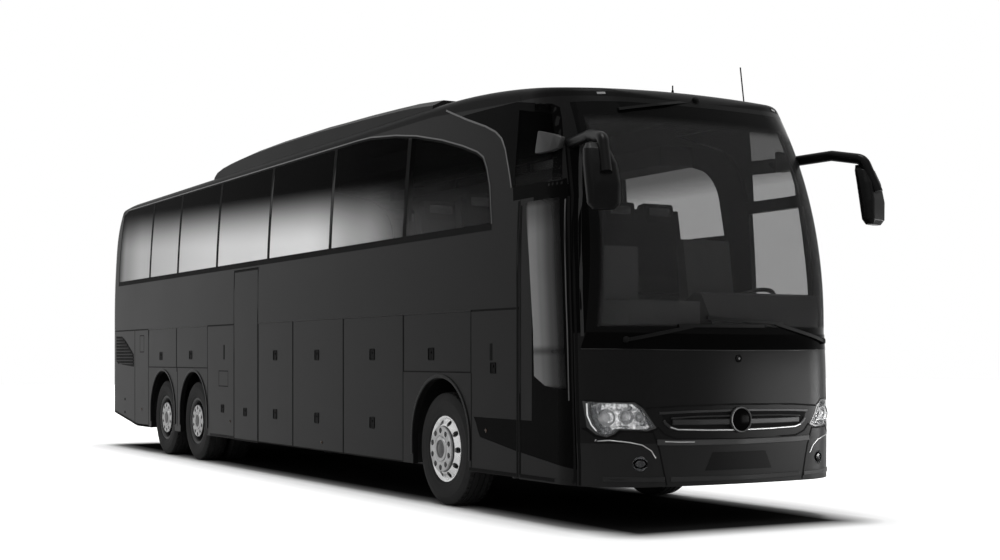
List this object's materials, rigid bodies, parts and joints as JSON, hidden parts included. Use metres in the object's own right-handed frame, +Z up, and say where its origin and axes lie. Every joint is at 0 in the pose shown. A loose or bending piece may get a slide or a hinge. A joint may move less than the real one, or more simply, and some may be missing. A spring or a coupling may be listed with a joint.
{
  "type": "three-axle touring coach",
  "caption": "High-deck touring coach with luggage flaps, two doors, steered front axle, twin-wheel drive axle and tag axle.",
  "frame": {"origin": "on the ground, under the middle of the overall length and width", "axes": "+X towards the front, +Y to the vehicle's left, +Z up"},
  "size_m": [14.0965, 2.9246, 3.926],
  "materials": {
    "body_paint": "gloss",
    "underbody": "satin",
    "cabin_lining": "matte",
    "black_trim": "gloss",
    "glass": "gloss",
    "lamp_lens": "gloss",
    "seat_fabric": "matte",
    "dark_plastic": "matte",
    "cast_iron": "satin",
    "tyre_rubber": "matte",
    "front_rim": "satin",
    "rear_rim": "satin"
  },
  "bodies": {
    "coach": {"side_wall_right": "body_paint", "side_wall_left": "body_paint", "roof": "body_paint", "roof_unit": "body_paint", "front_frame": "black_trim", "windscreen": "glass", "front_panel": "body_paint", "bumper": "body_paint", "grille": "black_trim", "lamps": "lamp_lens", "rear_wall": "body_paint", "body_glass": "glass", "floor": "cabin_lining", "wheel_housings": "underbody", "luggage_bays": "underbody", "underframe": "underbody", "engine_block": "cast_iron", "front_axle": "cast_iron", "drive_axle": "cast_iron", "tag_axle": "cast_iron", "mirrors": "black_trim", "wipers": "black_trim", "antennas": "black_trim", "luggage_racks": "cabin_lining", "dashboard": "dark_plastic", "seats": "seat_fabric"},
    "knuckle_right": {"knuckle_right": "cast_iron"},
    "knuckle_left": {"knuckle_left": "cast_iron"},
    "steering_wheel": {"steering_wheel": "dark_plastic"},
    "front_door_arm": {"front_door_arm": "dark_plastic"},
    "front_door": {"front_door": "body_paint", "front_door_glass": "glass"},
    "mid_door_arm": {"mid_door_arm": "dark_plastic"},
    "mid_door": {"mid_door": "body_paint"},
    "engine_lid": {"engine_lid": "body_paint"},
    "wheel_front_right": {"tyre_front_right": "tyre_rubber", "rim_front_right": "front_rim"},
    "wheel_front_left": {"tyre_front_left": "tyre_rubber", "rim_front_left": "front_rim"},
    "wheel_drive_right": {"tyre_drive_right": "tyre_rubber", "rim_drive_right": "rear_rim"},
    "wheel_drive_left": {"tyre_drive_left": "tyre_rubber", "rim_drive_left": "rear_rim"},
    "wheel_tag_right": {"tyre_tag_right": "tyre_rubber", "rim_tag_right": "rear_rim"},
    "wheel_tag_left": {"tyre_tag_left": "tyre_rubber", "rim_tag_left": "rear_rim"},
    "flap_right_front": {"flap_right_front": "body_paint"},
    "flap_right_middle": {"flap_right_middle": "body_paint"},
    "flap_right_rear": {"flap_right_rear": "body_paint"},
    "flap_left_front": {"flap_left_front": "body_paint"},
    "flap_left_middle": {"flap_left_middle": "body_paint"},
    "flap_left_rear": {"flap_left_rear": "body_paint"},
    "hatch_right_front": {"hatch_right_front": "body_paint"},
    "hatch_right_drive": {"hatch_right_drive": "body_paint"},
    "hatch_right_tag": {"hatch_right_tag": "body_paint"},
    "hatch_left_front": {"hatch_left_front": "body_paint"},
    "hatch_left_drive": {"hatch_left_drive": "body_paint"},
    "hatch_left_tag": {"hatch_left_tag": "body_paint"}
  },
  "joints": [
    {"name": "steer_right", "type": "hinge", "parent": "coach", "child": "knuckle_right", "pos_m": [4.171, -0.93, 0.512], "axis": [0, 0, 1], "range_deg": [-42, 42]},
    {"name": "steer_left", "type": "hinge", "parent": "coach", "child": "knuckle_left", "pos_m": [4.171, 0.93, 0.512], "axis": [0, 0, 1], "range_deg": [-42, 42]},
    {"name": "steering_wheel_turn", "type": "hinge", "parent": "coach", "child": "steering_wheel", "pos_m": [6.181, 0.64, 1.79], "axis": [-0.5, 0, 0.866], "range_deg": [-756, 756]},
    {"name": "roll_front_right", "type": "hinge", "parent": "knuckle_right", "child": "wheel_front_right", "pos_m": [4.171, -1.09, 0.512], "axis": [0, 1, 0], "continuous": true},
    {"name": "roll_front_left", "type": "hinge", "parent": "knuckle_left", "child": "wheel_front_left", "pos_m": [4.171, 1.09, 0.512], "axis": [0, 1, 0], "continuous": true},
    {"name": "roll_drive_right", "type": "hinge", "parent": "coach", "child": "wheel_drive_right", "pos_m": [-2.909, -1.09, 0.512], "axis": [0, 1, 0], "continuous": true},
    {"name": "roll_drive_left", "type": "hinge", "parent": "coach", "child": "wheel_drive_left", "pos_m": [-2.909, 1.09, 0.512], "axis": [0, 1, 0], "continuous": true},
    {"name": "roll_tag_right", "type": "hinge", "parent": "coach", "child": "wheel_tag_right", "pos_m": [-4.259, -1.09, 0.512], "axis": [0, 1, 0], "continuous": true},
    {"name": "roll_tag_left", "type": "hinge", "parent": "coach", "child": "wheel_tag_left", "pos_m": [-4.259, 1.09, 0.512], "axis": [0, 1, 0], "continuous": true},
    {"name": "front_door_swing", "type": "hinge", "parent": "coach", "child": "front_door_arm", "pos_m": [6.151, -1.1, 1.4], "axis": [0, 0, 1], "range_deg": [0, 142]},
    {"name": "front_door_guide", "type": "hinge", "parent": "front_door_arm", "child": "front_door", "pos_m": [5.68214, -1.06721, 1.4], "axis": [0, 0, 1], "range_deg": [-142, 0]},
    {"name": "mid_door_swing", "type": "hinge", "parent": "coach", "child": "mid_door_arm", "pos_m": [-1.049, -1.1, 1.4], "axis": [0, 0, -1], "range_deg": [0, 142]},
    {"name": "mid_door_guide", "type": "hinge", "parent": "mid_door_arm", "child": "mid_door", "pos_m": [-0.61007, -1.06931, 1.4], "axis": [0, 0, -1], "range_deg": [-142, 0]},
    {"name": "flap_right_front_hinge", "type": "hinge", "parent": "coach", "child": "flap_right_front", "pos_m": [2.701, -1.275, 1.74], "axis": [-1, 0, 0], "range_deg": [0, 85]},
    {"name": "flap_right_middle_hinge", "type": "hinge", "parent": "coach", "child": "flap_right_middle", "pos_m": [1.293, -1.275, 1.74], "axis": [-1, 0, 0], "range_deg": [0, 85]},
    {"name": "flap_right_rear_hinge", "type": "hinge", "parent": "coach", "child": "flap_right_rear", "pos_m": [0.048, -1.275, 1.74], "axis": [-1, 0, 0], "range_deg": [0, 85]},
    {"name": "flap_left_front_hinge", "type": "hinge", "parent": "coach", "child": "flap_left_front", "pos_m": [2.701, 1.275, 1.74], "axis": [1, 0, 0], "range_deg": [0, 85]},
    {"name": "flap_left_middle_hinge", "type": "hinge", "parent": "coach", "child": "flap_left_middle", "pos_m": [1.293, 1.275, 1.74], "axis": [1, 0, 0], "range_deg": [0, 85]},
    {"name": "flap_left_rear_hinge", "type": "hinge", "parent": "coach", "child": "flap_left_rear", "pos_m": [-0.377, 1.275, 1.74], "axis": [1, 0, 0], "range_deg": [0, 85]},
    {"name": "hatch_right_front_hinge", "type": "hinge", "parent": "coach", "child": "hatch_right_front", "pos_m": [4.09, -1.275, 1.74], "axis": [-1, 0, 0], "range_deg": [0, 85]},
    {"name": "hatch_right_drive_hinge", "type": "hinge", "parent": "coach", "child": "hatch_right_drive", "pos_m": [-2.9775, -1.275, 1.74], "axis": [-1, 0, 0], "range_deg": [0, 85]},
    {"name": "hatch_right_tag_hinge", "type": "hinge", "parent": "coach", "child": "hatch_right_tag", "pos_m": [-4.284, -1.275, 1.74], "axis": [-1, 0, 0], "range_deg": [0, 85]},
    {"name": "hatch_left_front_hinge", "type": "hinge", "parent": "coach", "child": "hatch_left_front", "pos_m": [4.09, 1.275, 1.74], "axis": [1, 0, 0], "range_deg": [0, 85]},
    {"name": "hatch_left_drive_hinge", "type": "hinge", "parent": "coach", "child": "hatch_left_drive", "pos_m": [-2.9775, 1.275, 1.74], "axis": [1, 0, 0], "range_deg": [0, 85]},
    {"name": "hatch_left_tag_hinge", "type": "hinge", "parent": "coach", "child": "hatch_left_tag", "pos_m": [-4.284, 1.275, 1.74], "axis": [1, 0, 0], "range_deg": [0, 85]},
    {"name": "engine_lid_hinge", "type": "hinge", "parent": "coach", "child": "engine_lid", "pos_m": [-7.059, 0, 1.7], "axis": [0, 1, 0], "range_deg": [0, 80]}
  ],
  "couplings": [
    {"joint": "steer_left", "follows": "steer_right", "ratio": 1},
    {"joint": "steering_wheel_turn", "follows": "steer_right", "ratio": 18},
    {"joint": "front_door_guide", "follows": "front_door_swing", "ratio": -1},
    {"joint": "mid_door_guide", "follows": "mid_door_swing", "ratio": -1}
  ]
}
